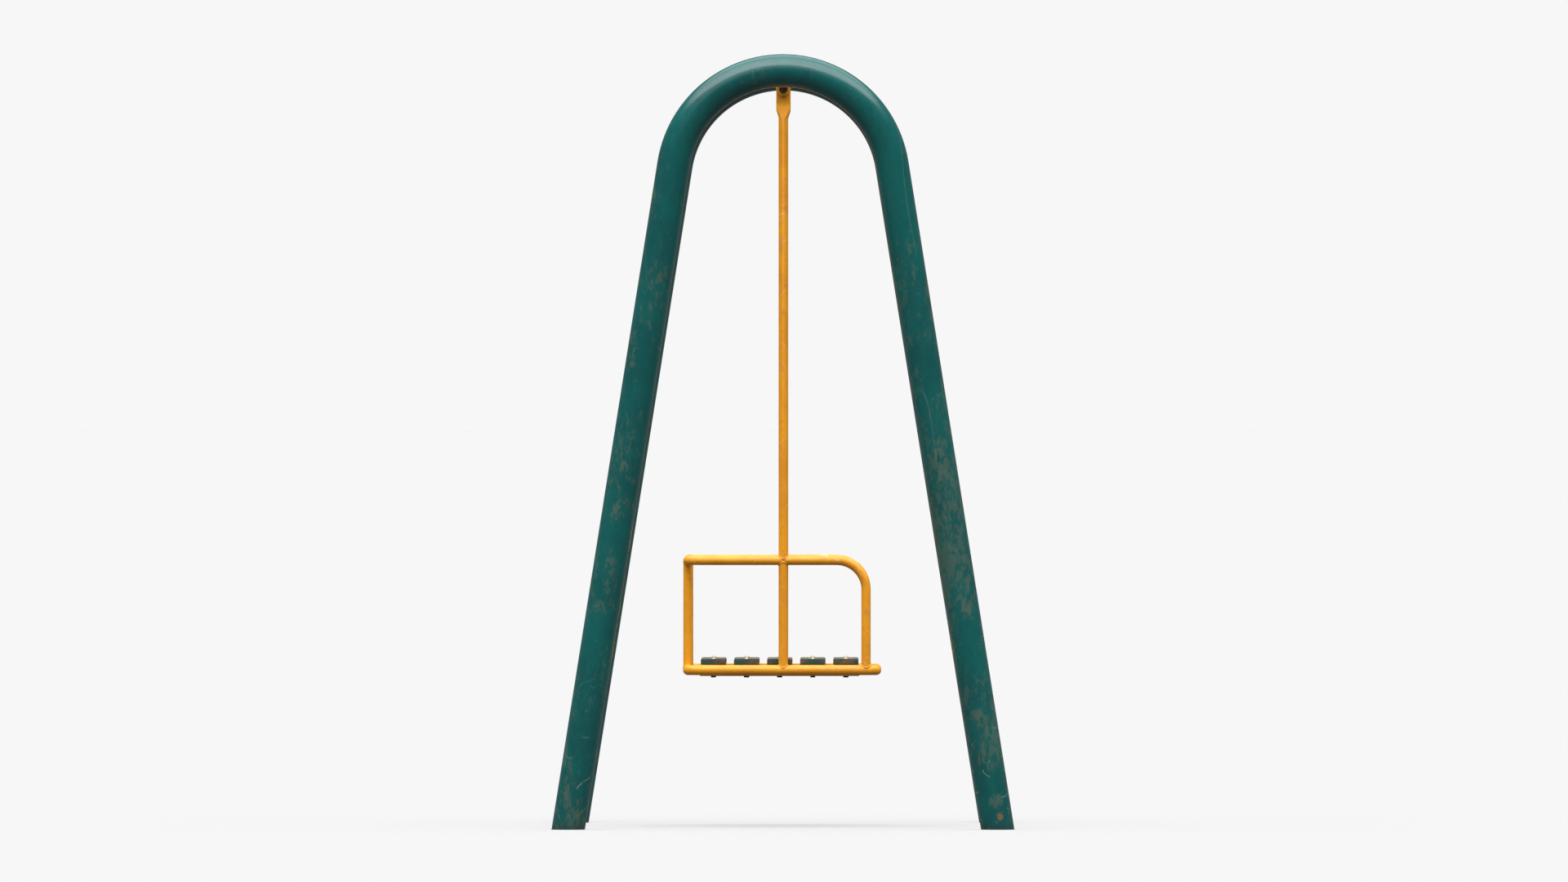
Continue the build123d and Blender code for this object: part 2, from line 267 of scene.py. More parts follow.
def arch_enamel(finish):
    """Gloss alkyd enamel brushed on steel pipe. Years of hands and weather give it a mottled
    grey-brown film in small broken islands, fine scratches, and rust near the ground."""
    material, tree, shader = new_material("green alkyd enamel on steel pipe")
    place = add_node(tree, "TexCoord").outputs["Object"]
    axes = add_node(tree, "SeparateXYZ", {0: place})
    x, z = axes.outputs["X"], axes.outputs["Z"]
    along = stretched(tree, (1.0, 1.0, 0.55))

    tone = sum_of(tree, "ADD", sum_of(tree, "MULTIPLY", noise(tree, 190, 3.0), 0.6),
                  sum_of(tree, "MULTIPLY", noise(tree, 22, 4.0, 0.6, along), 0.4))
    sound = mixed(tree, band(tree, tone, 0.38, 0.62), linear(finish.green_deep), linear(finish.green))

    # Scuffs: small lumps with ragged rims, thickest on the front legs' middle and near the ground.
    clouds = noise(tree, 120, 2.0, 0.5, along)
    lumps = noise(tree, 15, 6.0, 0.66, along, 0.4)
    front = band(tree, x, -0.2, 0.45)
    middle = sum_of(tree, "MULTIPLY", band(tree, z, 1.75, 1.1), band(tree, z, 0.1, 0.4))
    bias = sum_of(tree, "MULTIPLY", sum_of(tree, "MULTIPLY", front, middle), 0.14)
    low = sum_of(tree, "MULTIPLY", band(tree, z, 0.42, 0.1), 0.03)
    high = sum_of(tree, "MULTIPLY", band(tree, z, 1.75, 1.95), -0.08)
    where = sum_of(tree, "ADD", sum_of(tree, "ADD", clouds, bias), sum_of(tree, "ADD", low, high))
    amount = sum_of(tree, "ADD", sum_of(tree, "MULTIPLY", where, 0.42),
                    sum_of(tree, "MULTIPLY", lumps, 0.58))
    worst = sum_of(tree, "MULTIPLY", spots(tree, SCUFFED_SPOTS), band(tree, lumps, 0.40, 0.56))
    scuff = sum_of(tree, "MAXIMUM", band(tree, amount, 0.548, 0.652), worst)
    film = band(tree, amount, 0.50, 0.62)
    flecks = sum_of(tree, "MULTIPLY", band(tree, noise(tree, 2.6, 2.0, 0.7), 0.64, 0.72),
                    band(tree, noise(tree, 70, 3.0), 0.42, 0.60))

    worn = mixed(tree, band(tree, noise(tree, 8, 3.0), 0.4, 0.65), linear(finish.green_worn),
                 linear("#635A44"))
    colour = mixed(tree, sum_of(tree, "MULTIPLY", film, 0.14), sound, linear(finish.green_worn))
    colour = mixed(tree, sum_of(tree, "MULTIPLY", scuff, 0.28), colour, worn)
    colour = mixed(tree, sum_of(tree, "MULTIPLY", worst, 0.2), colour, worn)
    colour = mixed(tree, sum_of(tree, "MULTIPLY", flecks, 0.35), colour, linear("#7F8571"))

    # Scratches down to the pale undercoat: long ones with the pipe, short curved ones across it.
    long_lines = hairlines(tree, 160, 0.6, (1.0, 1.0, 0.16), (0, 0, 0.3), 0.46)
    curved = sum_of(tree, "MULTIPLY", hairlines(tree, 75, 1.0, (1.0, 1.0, 1.4), (0.5, 0.2, 0), 0.47),
                    band(tree, z, 0.5, 0.1))
    scratch = sum_of(tree, "MAXIMUM", sum_of(tree, "MULTIPLY", long_lines, 0.28), curved)
    colour = mixed(tree, sum_of(tree, "MULTIPLY", scratch, 0.42), colour, linear("#8E9A86"))

    # Rust: spots on the lowest 120 mm and dry runs above them.
    near_ground = sum_of(tree, "MULTIPLY", band(tree, z, 0.2, 0.02), 0.1)
    pitted = band(tree, sum_of(tree, "ADD", noise(tree, 30, 4.0, 0.6), near_ground), 0.72, 0.79)
    pitted = sum_of(tree, "MULTIPLY", pitted, band(tree, z, 0.3, 0.1))
    runs = noise(tree, 16, 3.0, 0.55, stretched(tree, (1.0, 1.0, 0.13)))
    runs = sum_of(tree, "MULTIPLY", band(tree, runs, 0.66, 0.74), band(tree, z, 0.42, 0.12))
    rust = sum_of(tree, "MAXIMUM", pitted, sum_of(tree, "MULTIPLY", runs, 0.6))
    rust = sum_of(tree, "MAXIMUM", rust, spots(tree, RUSTED_SPOTS))
    rust_tone = mixed(tree, noise(tree, 4, 4.0), linear(finish.rust), linear("#9A6238"))
    colour = mixed(tree, sum_of(tree, "MULTIPLY", rust, 0.62), colour, rust_tone)
    # The colour darkens smoothly towards the ground over the lowest 30 mm.
    darker_at_ground = sum_of(tree, "MULTIPLY", band(tree, z, 0.03, 0.0), 0.45)
    colour = mixed(tree, darker_at_ground, colour, linear("#2B2A22"))

    dull = sum_of(tree, "MAXIMUM", scuff, rust)
    tree.links.new(colour, shader.inputs["Base Color"])
    gloss = sum_of(tree, "ADD", sum_of(tree, "MULTIPLY", dull, 0.25),
                   sum_of(tree, "MULTIPLY", noise(tree, 40, 4.0), 0.14))
    tree.links.new(sum_of(tree, "ADD", gloss, 0.15), shader.inputs["Roughness"])
    shader.inputs["IOR"].default_value = 1.46
    height = sum_of(tree, "SUBTRACT", sum_of(tree, "MULTIPLY", noise(tree, 7, 2.0), 0.35),
                    sum_of(tree, "ADD", sum_of(tree, "MULTIPLY", dull, 0.35), scratch))
    roughened(tree, shader, height, 0.12)
    return material


def seat_enamel(finish):
    """Satin orange enamel on thin tube. The colour drifts browner where it is grimy, with small
    pinkish rubbed islands, a few pale scuffs along the tops and dark pin-holes."""
    material, tree, shader = new_material("orange enamel on steel tube")
    place = add_node(tree, "TexCoord").outputs["Object"]
    z = add_node(tree, "SeparateXYZ", {0: place}).outputs["Z"]
    tone = band(tree, noise(tree, 90, 3.0), 0.36, 0.64)
    sound = mixed(tree, tone, linear(finish.orange_deep), linear(finish.orange))
    islands = noise(tree, 24, 5.0, 0.62, None, 0.5)
    rubbed = band(tree, islands, 0.56, 0.66)
    colour = mixed(tree, sum_of(tree, "MULTIPLY", rubbed, 0.34), sound, linear(finish.orange_worn))
    grime = band(tree, noise(tree, 8, 5.0, 0.65), 0.57, 0.70)
    colour = mixed(tree, sum_of(tree, "MULTIPLY", grime, 0.24), colour, linear("#8A5A2E"))
    pits = band(tree, noise(tree, 2.3, 2.0, 0.7), 0.70, 0.75)
    pits = sum_of(tree, "MULTIPLY", pits, band(tree, noise(tree, 45, 2.0), 0.48, 0.6))
    colour = mixed(tree, sum_of(tree, "MULTIPLY", pits, 0.7), colour, linear("#5A3A22"))

    # Pale scuffs only where things rub: along the armrests.
    arms = sum_of(tree, "MULTIPLY", band(tree, z, 0.712, 0.724), band(tree, z, 0.75, 0.74))
    scuffs = band(tree, noise(tree, 12, 4.0, 0.6, stretched(tree, (0.5, 1, 1))), 0.57, 0.64)
    scuffs = sum_of(tree, "MULTIPLY", scuffs, arms)
    scuffs = sum_of(tree, "MULTIPLY", scuffs, band(tree, noise(tree, 120, 1.0), 0.46, 0.6))
    colour = mixed(tree, sum_of(tree, "MULTIPLY", scuffs, 0.7), colour, linear("#E9D2AE"))
    scratch = hairlines(tree, 60, 0.5, (1.0, 1.0, 1.0), (0.4, 0.9, 0), 0.46)
    colour = mixed(tree, sum_of(tree, "MULTIPLY", scratch, 0.35), colour, linear("#F2C98A"))

    tree.links.new(colour, shader.inputs["Base Color"])
    gloss = sum_of(tree, "ADD", sum_of(tree, "MULTIPLY", rubbed, 0.14),
                   sum_of(tree, "MULTIPLY", noise(tree, 20, 4.0), 0.2))
    tree.links.new(sum_of(tree, "ADD", gloss, 0.3), shader.inputs["Roughness"])
    shader.inputs["IOR"].default_value = 1.46
    height = sum_of(tree, "SUBTRACT", sum_of(tree, "MULTIPLY", noise(tree, 5, 2.0), 0.3),
                    sum_of(tree, "ADD", sum_of(tree, "MULTIPLY", grime, 0.3), pits))
    roughened(tree, shader, height, 0.1)
    return material


def slat_paint(finish):
    """Planed pine with old green paint: the grain runs with the slat, sitting has worn the top to
    bare brown timber, and paint stays on the rounded edges, at the ends and in the grain."""
    material, tree, shader = new_material("weathered pine with old green paint")
    place = add_node(tree, "TexCoord").outputs["Object"]
    axes = add_node(tree, "SeparateXYZ", {0: place})
    y = add_node(tree, "Math", {0: axes.outputs["Y"]}, operation="ABSOLUTE").outputs[0]
    facing = add_node(tree, "SeparateXYZ", {0: add_node(tree, "NewGeometry").outputs["Normal"]})
    top = band(tree, facing.outputs["Z"], 0.72, 0.96)
    sideways = add_node(tree, "Math", {0: facing.outputs["Y"]}, operation="ABSOLUTE").outputs[0]
    height = sum_of(tree, "SUBTRACT", axes.outputs["Z"], centre_of("slat_1").z)
    height = add_node(tree, "Math", {0: height}, operation="ABSOLUTE").outputs[0]
    end = band(tree, sideways, 0.7, 0.95)
    heart = sum_of(tree, "MULTIPLY", end, band(tree, height, 7 * MM, 3.5 * MM))

    fibre = noise(tree, 2.2, 5.0, 0.65, stretched(tree, (1.0, 0.035, 1.0)), 0.3)
    rings = add_node(
        tree, "TexWave",
        {"Vector": stretched(tree, (1.0, 0.06, 0.7), (0, 0, 0.02)), "Scale": 34.0, "Distortion": 5.0,
         "Detail": 3.0, "Detail Scale": 1.2},
        wave_type="BANDS", bands_direction="X",
    ).outputs["Fac"]
    timber = mixed(tree, band(tree, rings, 0.2, 0.9), linear("#5B4229"), linear(finish.slat_wood))
    timber = mixed(tree, band(tree, fibre, 0.35, 0.7), linear("#46341F"), timber)
    grey = band(tree, noise(tree, 60, 4.0, 0.6, stretched(tree, (1, 0.3, 1))), 0.42, 0.62)
    timber = mixed(tree, sum_of(tree, "MULTIPLY", grey, 0.45), timber, linear("#857B6A"))

    paint_tone = mixed(tree, noise(tree, 35, 4.0), linear("#1D3934"), linear(finish.slat_green))
    clouds = noise(tree, 46, 5.0, 0.62, stretched(tree, (1.0, 0.32, 1.0)))
    middle = sum_of(tree, "MULTIPLY", band(tree, y, 0.262, 0.15), 0.12)
    wear = sum_of(tree, "ADD", sum_of(tree, "ADD", clouds, middle), sum_of(tree, "MULTIPLY", fibre, 0.16))
    wear = sum_of(tree, "ADD", wear, sum_of(tree, "MULTIPLY", top, 0.07))
    wear = sum_of(tree, "ADD", wear, sum_of(tree, "MULTIPLY", heart, 0.13))
    bare = band(tree, wear, 0.665, 0.73)
    timber = mixed(tree, sum_of(tree, "MULTIPLY", end, 0.6), timber, linear("#40371F"))
    colour = mixed(tree, bare, paint_tone, timber)
    chalk = band(tree, noise(tree, 7, 4.0, 0.6), 0.55, 0.7)
    colour = mixed(tree, sum_of(tree, "MULTIPLY", chalk, 0.12), colour, linear("#8FA39A"))

    tree.links.new(colour, shader.inputs["Base Color"])
    gloss = sum_of(tree, "ADD", sum_of(tree, "MULTIPLY", bare, 0.3), 0.42)
    tree.links.new(gloss, shader.inputs["Roughness"])
    shader.inputs["IOR"].default_value = 1.48
    relief = sum_of(tree, "SUBTRACT", sum_of(tree, "MULTIPLY", fibre, sum_of(tree, "ADD", bare, 0.35)),
                    sum_of(tree, "MULTIPLY", bare, 0.5))
    roughened(tree, shader, relief, 0.45)
    return material


def worn_steel(name, light, dark, rust_share, roughness):
    """Rolled or plated steel left outdoors: mottled metal with brown oxide in its lows."""
    material, tree, shader = new_material(name)
    mottle = noise(tree, 3.5, 4.0, 0.65)
    metal = mixed(tree, band(tree, mottle, 0.3, 0.7), linear(dark), linear(light))
    oxide = band(tree, noise(tree, 6, 5.0, 0.65), 1 - rust_share, 1.12 - rust_share)
    oxide_tone = mixed(tree, noise(tree, 1.2, 3.0), linear("#4A2B1A"), linear("#7C4A2A"))
    colour = mixed(tree, oxide, metal, oxide_tone)
    tree.links.new(colour, shader.inputs["Base Color"])
    shine = sum_of(tree, "SUBTRACT", 1.0, oxide)
    tree.links.new(shine, shader.inputs["Metallic"])
    rough = sum_of(tree, "ADD", sum_of(tree, "MULTIPLY", oxide, 0.35), roughness)
    tree.links.new(sum_of(tree, "ADD", rough, sum_of(tree, "MULTIPLY", mottle, 0.12)), shader.inputs["Roughness"])
    roughened(tree, shader, sum_of(tree, "ADD", noise(tree, 0.9, 3.0), oxide), 0.06)
    return material


def bush_bronze():
    """Oil-soaked sintered bronze: a dull, even, slightly grainy yellow-brown metal."""
    material, tree, shader = new_material("sintered bronze")
    tone = mixed(tree, noise(tree, 1.5, 3.0), linear("#6E4F2A"), linear("#9C7540"))
    tree.links.new(tone, shader.inputs["Base Color"])
    shader.inputs["Metallic"].default_value = 1.0
    shader.inputs["Roughness"].default_value = 0.45
    roughened(tree, shader, noise(tree, 0.4, 2.0), 0.02)
    return material


MATERIALS = {}


# ---------------------------------------------------------------- modelling by hand


def deselect():
    bpy.ops.object.select_all(action="DESELECT")
    bpy.context.view_layer.objects.active = None


def object_mode():
    bpy.ops.object.mode_set(mode="OBJECT")


def edit_mode():
    bpy.ops.object.mode_set(mode="EDIT")


def only(piece):
    deselect()
    piece.select_set(True)
    bpy.context.view_layer.objects.active = piece


def settle():
    """Puts the active object's place and turn into its mesh."""
    bpy.ops.object.transform_apply(location=True, rotation=True, scale=True)
    return bpy.context.object


def select_where(piece, test):
    """In edit mode, selects just the faces whose centre and normal pass a test."""
    bpy.ops.mesh.select_mode(type="FACE")
    bpy.ops.mesh.select_all(action="DESELECT")
    object_mode()
    for face in piece.data.polygons:
        face.select = test(face.center, face.normal)
    edit_mode()


def tidy_mesh(piece):
    """In object mode: merges doubles and turns all faces outwards."""
    only(piece)
    edit_mode()
    bpy.ops.mesh.select_all(action="SELECT")
    bpy.ops.mesh.remove_doubles(threshold=0.00001)
    bpy.ops.mesh.normals_make_consistent(inside=False)
    object_mode()


def modify(piece, kind, **settings):
    """Adds a modifier and applies it at once."""
    only(piece)
    made = piece.modifiers.new(kind.title(), kind)
    for key, value in settings.items():
        setattr(made, key, value)
    bpy.ops.object.modifier_apply(modifier=made.name)


def cut_away(piece, cutter):
    """Cuts one object's shape out of another, and removes the cutter."""
    modify(piece, "BOOLEAN", object=cutter, operation="DIFFERENCE", solver="EXACT")
    bpy.data.objects.remove(cutter)


def fused(piece, other):
    """Unites two overlapping shapes in one closed skin, and removes the second."""
    modify(piece, "BOOLEAN", object=other, operation="UNION", solver="EXACT")
    bpy.data.objects.remove(other)
    return piece


def trimmed(piece, width, segments=2):
    """Breaks a piece's sharp edges, and clears the slivers that this leaves."""
    modify(piece, "BEVEL", width=width, segments=segments, limit_method="ANGLE", angle_limit=0.9)
    edit_mode()
    bpy.ops.mesh.select_all(action="SELECT")
    bpy.ops.mesh.dissolve_degenerate(threshold=0.00002)
    object_mode()
    return piece


def join(name, members):
    """Joins copies or members into one object under a name."""
    only(members[0])
    for member in members:
        member.select_set(True)
    if len(members) > 1:
        bpy.ops.object.join()
    joined = bpy.context.object
    joined.name = joined.data.name = name
    return joined


def copied(piece, offset):
    """Copy of a piece with its own mesh, moved by an offset within its mesh."""
    only(piece)
    bpy.ops.object.duplicate()
    bpy.ops.transform.translate(value=offset)
    return settle()


def finish(piece, name, body, finish_name, slot, replaced=(), smooth=35):
    """Names a piece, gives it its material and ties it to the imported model."""
    only(piece)
    piece.name = piece.data.name = name
    bpy.ops.object.shade_smooth_by_angle(angle=math.radians(smooth))
    piece.data.materials.clear()
    piece.data.materials.append(MATERIALS[finish_name])
    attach(piece, body)
    if replaced:
        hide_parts(*replaced)
    return piece


def bent_tube(corners, bend_radii, radius, sides, closed=False, step=5.0):
    """Tube along straight runs with a round bend at each inner corner, by extrude and spin."""
    points = [Vector(p) for p in corners]
    if closed:
        start = (points[0] + points[-1]) / 2
        points = [start] + points + [start]
    first = (points[1] - points[0]).normalized()
    turn = Vector((0, 0, 1)).rotation_difference(first).to_euler()
    deselect()
    bpy.ops.mesh.primitive_circle_add(
        vertices=sides, radius=radius, location=points[0], rotation=turn
    )
    piece = settle()
    edit_mode()
    bpy.ops.mesh.select_all(action="SELECT")
    here = points[0]
    for corner, after, bend in zip(points[1:-1], points[2:], bend_radii):
        into, out = (corner - here).normalized(), (after - corner).normalized()
        angle = into.angle(out)
        tangent = bend * math.tan(angle / 2)
        bpy.ops.mesh.extrude_region_move(
            TRANSFORM_OT_translate={"value": corner - into * tangent - here}
        )
        inward = (out - into * into.dot(out)).normalized()
        # spin turns the left-handed way about its axis
        bpy.ops.mesh.spin(
            steps=math.ceil(math.degrees(angle) / step), angle=-angle,
            center=corner - into * tangent + inward * bend, axis=into.cross(out).normalized(),
        )
        here = corner + out * tangent
    bpy.ops.mesh.extrude_region_move(TRANSFORM_OT_translate={"value": points[-1] - here})
    object_mode()
    tidy_mesh(piece)
    return piece


def straight_tube(start, end, radius, sides=48):
    return bent_tube((start, end), (), radius, sides)


def add_wall(piece, wall):
    """Gives an open tube its wall, inwards from its outer skin."""
    modify(piece, "SOLIDIFY", thickness=wall, offset=-1.0, use_even_offset=True)


def saddle(vertex, mate, radius, side):
    """Moves a vertex of an upright tube's end on to the skin of the level tube that it meets.
    mate is (axis across the level tube, its place on that axis, its height)."""
    axis, place, height = mate
    off = vertex.co[axis] - place
    vertex.co.z = height + side * math.sqrt(max(radius * radius - off * off, 0.0))


def cut_ends(piece, low_mate=None, low_radius=0.0, high_mate=None, high_radius=0.0):
    """Cuts an upright tube's ends to the shape of the level tubes below and above it."""
    heights = [vertex.co.z for vertex in piece.data.vertices]
    low, high = min(heights), max(heights)
    for vertex in piece.data.vertices:
        if low_mate and vertex.co.z < low + 1e-5:
            saddle(vertex, low_mate, low_radius, 1)
        elif high_mate and vertex.co.z > high - 1e-5:
            saddle(vertex, high_mate, high_radius, -1)


def bead(centre, ring_radius, size, joint_at, axis=2, sides=72):
    """Weld bead round a tube: a torus whose ring follows the joint line. Its ripples are the small
    steps that a welder's hand leaves."""
    deselect()
    turn = (math.pi / 2, 0, 0) if axis == 1 else (0, 0, 0)
    bpy.ops.mesh.primitive_torus_add(
        major_segments=sides, minor_segments=10, major_radius=ring_radius, minor_radius=size,
        location=centre, rotation=turn,
    )
    piece = settle()
    centre = Vector(centre)
    for vertex in piece.data.vertices:
        out = vertex.co - centre
        out[axis] = 0
        ring = out.normalized() * ring_radius
        local = vertex.co - centre - ring
        angle = math.atan2(out[(axis + 1) % 3], out[(axis + 2) % 3])
        local *= 1 + 0.10 * math.sin(angle * sides / 3)
        place = centre + ring
        place[axis] = joint_at(place)
        vertex.co = place + local
    return piece


def on_saddle(mate, radius, side):
    """Height of the joint line over a level tube, as a function of a point beside it."""
    axis, place, height = mate
    return lambda point: height + side * math.sqrt(
        max(radius * radius - (point[axis] - place) ** 2, 0.0)
    )


def stitch(start, along, size):
    """Short straight weld: a bar with blunt ends."""
    piece = straight_tube(start, Vector(start) + Vector(along), size, 10)
    only(piece)
    edit_mode()
    bpy.ops.mesh.select_all(action="SELECT")
    bpy.ops.mesh.fill_holes(sides=0)
    object_mode()
    modify(piece, "BEVEL", width=size * 0.6, segments=3, limit_method="ANGLE", angle_limit=1.0)
    return piece


def bar(centre, radius, depth, axis="Z", sides=32):
    """Round bar with its place in its mesh."""
    deselect()
    turn = (math.pi / 2, 0, 0) if axis == "Y" else (0, 0, 0)
    bpy.ops.mesh.primitive_cylinder_add(
        vertices=sides, radius=radius, depth=depth, location=centre, rotation=turn
    )
    return settle()


def hex_block(centre, across_flats, depth, facing):
    """Hexagonal prism with the corners of its outer end turned off at 30 degrees."""
    turn = Vector((0, 0, 1)).rotation_difference(Vector(facing)).to_euler()
    deselect()
    bpy.ops.mesh.primitive_cylinder_add(
        vertices=6, radius=across_flats / math.sqrt(3), depth=depth, location=centre, rotation=turn
    )
    piece = settle()
    deselect()
    end = 0.475 * across_flats
    bpy.ops.mesh.primitive_cone_add(
        vertices=64, radius1=end + math.sqrt(3) * depth, radius2=end, depth=depth,
        location=centre, rotation=turn,
    )
    cone = settle()
    modify(piece, "BOOLEAN", object=cone, operation="INTERSECT", solver="EXACT")
    bpy.data.objects.remove(cone)
    return piece


# ---------------------------------------------------------------- the pieces


def arch_lines(shape):
    """Lean of a leg, height of the bend's centre, and height where the legs' lines would meet."""
    bend_z = LEG_TOP_Z - PIPE_D / 2 - shape.arch_bend
    lean = math.atan2(shape.foot_spread, bend_z) - math.asin(
        shape.arch_bend / math.hypot(shape.foot_spread, bend_z)
    )
    return lean, bend_z, shape.foot_spread / math.tan(lean)


class GLIDER_OT_arches(bpy.types.Operator):
    """Bends the two arches from large pipe and cuts their feet level"""

    bl_idname = "glider.arches"
    bl_label = "Arches"

    def execute(self, context):
        shape = context.scene.glider_shape
        lean, bend_z, apex = arch_lines(shape)
        below = 40 * MM
        foot = shape.foot_spread + below * math.tan(lean)
        for side_name, side in SIDES.items():
            y = side * ARCH_Y
            arch = bent_tube(
                ((-foot, y, -below), (0, y, apex), (foot, y, -below)),
                (shape.arch_bend,), PIPE_D / 2, shape.pipe_sides, step=3.0,
            )
            only(arch)
            edit_mode()
            bpy.ops.mesh.select_all(action="SELECT")
            bpy.ops.mesh.bisect(plane_co=(0, 0, 0), plane_no=(0, 0, 1), clear_inner=True)
            object_mode()
            add_wall(arch, shape.arch_wall)
            for vertex in arch.data.vertices:  # the saw cut stays level across the wall
                if abs(vertex.co.z) < 2 * MM:
                    vertex.co.z = 0.0
            finish(arch, f"arch_pipe_{side_name}", "frame", "green", "arch_green_paint",
                   (f"{side_name}_arch",))
        return {"FINISHED"}


class GLIDER_OT_crossbar(bpy.types.Operator):
    """Fits the crossbar between the arches and welds it to them"""

    bl_idname = "glider.crossbar"
    bl_label = "Crossbar"

    def execute(self, context):
        shape = context.scene.glider_shape
        bend_z = arch_lines(shape)[1]

        def on_arch(side):
            def joint_at(point):
                off = abs(math.hypot(point.x, point.z - bend_z) - shape.arch_bend)
                return side * (ARCH_Y - math.sqrt((PIPE_D / 2) ** 2 - off * off))
            return joint_at

        tube = straight_tube((0, -ARCH_Y, BAR_Z), (0, ARCH_Y, BAR_Z), BAR_D / 2, 72)
        for vertex in tube.data.vertices:
            vertex.co.y = on_arch(math.copysign(1, vertex.co.y))(vertex.co)
        add_wall(tube, 3.2 * MM)
        finish(tube, "crossbar_tube", "frame", "green", "arch_green_paint", ("crossbar",))
        rings = [
            bead((0, side * ARCH_Y, BAR_Z), BAR_D / 2 + 0.6 * MM, 2.6 * MM, on_arch(side), 1, 108)
            for side in SIDES.values()
        ]
        finish(join("crossbar_welds", rings), "crossbar_welds", "frame", "green", "arch_green_paint",
               smooth=180)
        return {"FINISHED"}


class GLIDER_OT_lugs(bpy.types.Operator):
    """Cuts the four pivot lugs from plate and welds them under the crossbar"""

    bl_idname = "glider.lugs"
    bl_label = "Pivot lugs"

    def execute(self, context):
        shape = context.scene.glider_shape
        model = size_of("right_outer_lug")
        rise = BAR_Z - PIVOT.z
        plate = bar(PIVOT, model.x / 2, model.y, "Y", 96)
        for vertex in plate.data.vertices:
            if vertex.co.z > PIVOT.z + 0.01 * MM:
                vertex.co.z += rise
        cut_away(plate, bar((0, 0, BAR_Z), BAR_D / 2, 0.1, "Y", 72))
        cut_away(plate, bar(PIVOT, 6.5 * MM, 0.1, "Y", 48))
        keep_low(plate, BAR_Z - 5 * MM)
        modify(plate, "BEVEL", width=0.7 * MM, segments=3, limit_method="ANGLE", angle_limit=0.7)
        for side_name, side in SIDES.items():
            beads = []
            for place in ("outer", "inner"):
                node = f"{side_name}_{place}_lug"
                middle = centre_of(node).y
                finish(copied(plate, (0, middle, 0)), f"lug_plate_{side_name}_{place}", "frame",
                       "orange", "orange_paint", (node,))
                for face in (-1, 1):
                    beads.append(lug_bead(middle + face * (model.y / 2 + 0.4 * MM), shape.weld_size))
            finish(join("w", beads), f"lug_welds_{side_name}", "frame", "orange", "orange_paint",
                   smooth=180)
        bpy.data.objects.remove(plate)
        return {"FINISHED"}


def keep_low(piece, height):
    """Removes what a cut has left above a height."""
    only(piece)
    edit_mode()
    bpy.ops.mesh.separate(type="LOOSE")
    object_mode()
    for part in list(bpy.context.selected_objects):
        if part != piece and min(vertex.co.z for vertex in part.data.vertices) > height:
            bpy.data.objects.remove(part)
    only(piece)


def lug_bead(y, size):
    """Fillet weld along the top of a lug, round the underside of the crossbar."""
    reach = math.asin(17.5 * MM / (BAR_D / 2))
    start = Vector((-math.sin(reach), 0, -math.cos(reach))) * (BAR_D / 2) + Vector((0, y, BAR_Z))
    tangent = Vector((math.cos(reach), 0, -math.sin(reach)))
    deselect()
    bpy.ops.mesh.primitive_circle_add(
        vertices=12, radius=size, location=start,
        rotation=Vector((0, 0, 1)).rotation_difference(tangent).to_euler(),
    )
    piece = settle()
    edit_mode()
    bpy.ops.mesh.select_all(action="SELECT")
    bpy.ops.mesh.spin(steps=26, angle=2 * reach, center=(0, y, BAR_Z), axis=(0, 1, 0))
    bpy.ops.mesh.select_all(action="SELECT")
    bpy.ops.mesh.fill_holes(sides=0)
    object_mode()
    tidy_mesh(piece)
    for vertex in piece.data.vertices:  # the ripples and the blunt ends
        angle = math.atan2(vertex.co.x, BAR_Z - vertex.co.z)
        heart = Vector((math.sin(angle), 0, -math.cos(angle))) * (BAR_D / 2) + Vector((0, y, BAR_Z))
        swell = 1 + 0.12 * math.sin(angle * 60)
        blunt = min(1.0, 0.45 + (reach - abs(angle)) * 8)
        vertex.co = heart + (vertex.co - heart) * swell * blunt
    return piece


class GLIDER_OT_pivots(bpy.types.Operator):
    """Makes the pivot bolts and locknuts, and finishes the washers and bushes"""

    bl_idname = "glider.pivots"
    bl_label = "Pivot bolts and nuts"

    def execute(self, context):
        overlap = 2 * MM
        for side_name, side in SIDES.items():
            low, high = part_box(f"{side_name}_pivot_bolt")
            outer, tip = (high.y, low.y) if side > 0 else (low.y, high.y)
            facing = (0, side, 0)
            head_h = 7.5 * MM
            head = hex_block((0, outer - side * head_h / 2, PIVOT.z), 18 * MM, head_h, facing)
            reach = abs(outer - tip) - head_h + overlap
            shank = bar((0, tip + side * reach / 2, PIVOT.z), 6 * MM, reach, "Y", 40)
            bolt = trimmed(fused(head, trimmed(shank, 0.8 * MM)), 0.25 * MM)
            finish(bolt, f"pivot_bolt_{side_name}", "frame", "bolt", "bolt_steel",
                   (f"{side_name}_pivot_bolt",))

            low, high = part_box(f"{side_name}_pivot_nut")
            seat, end = (high.y, low.y) if side > 0 else (low.y, high.y)
            hex_h = 9.4 * MM
            collar_h = abs(seat - end) - hex_h + overlap
            nut = hex_block((0, seat - side * hex_h / 2, PIVOT.z), 18 * MM, hex_h, (0, -side, 0))
            collar = bar((0, end + side * collar_h / 2, PIVOT.z), 7.6 * MM, collar_h, "Y", 48)
            nut = fused(nut, trimmed(collar, 0.9 * MM, 3))
            cut_away(nut, bar((0, (seat + end) / 2, PIVOT.z), 6.02 * MM, 0.03, "Y", 40))
            finish(nut, f"pivot_locknut_{side_name}", "frame", "bolt", "bolt_steel",
                   (f"{side_name}_pivot_nut",))
            give(f"{side_name}_pivot_bush", "bronze")
        give("pivot_washers", "washer")
        give("thrust_washers", "washer")
        return {"FINISHED"}


def give(node, finish_name):
    """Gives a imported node, whose shape stays, its finished material."""
    packed = frame["nodes"][node]
    packed.data.materials.clear()
    packed.data.materials.append(MATERIALS[finish_name])


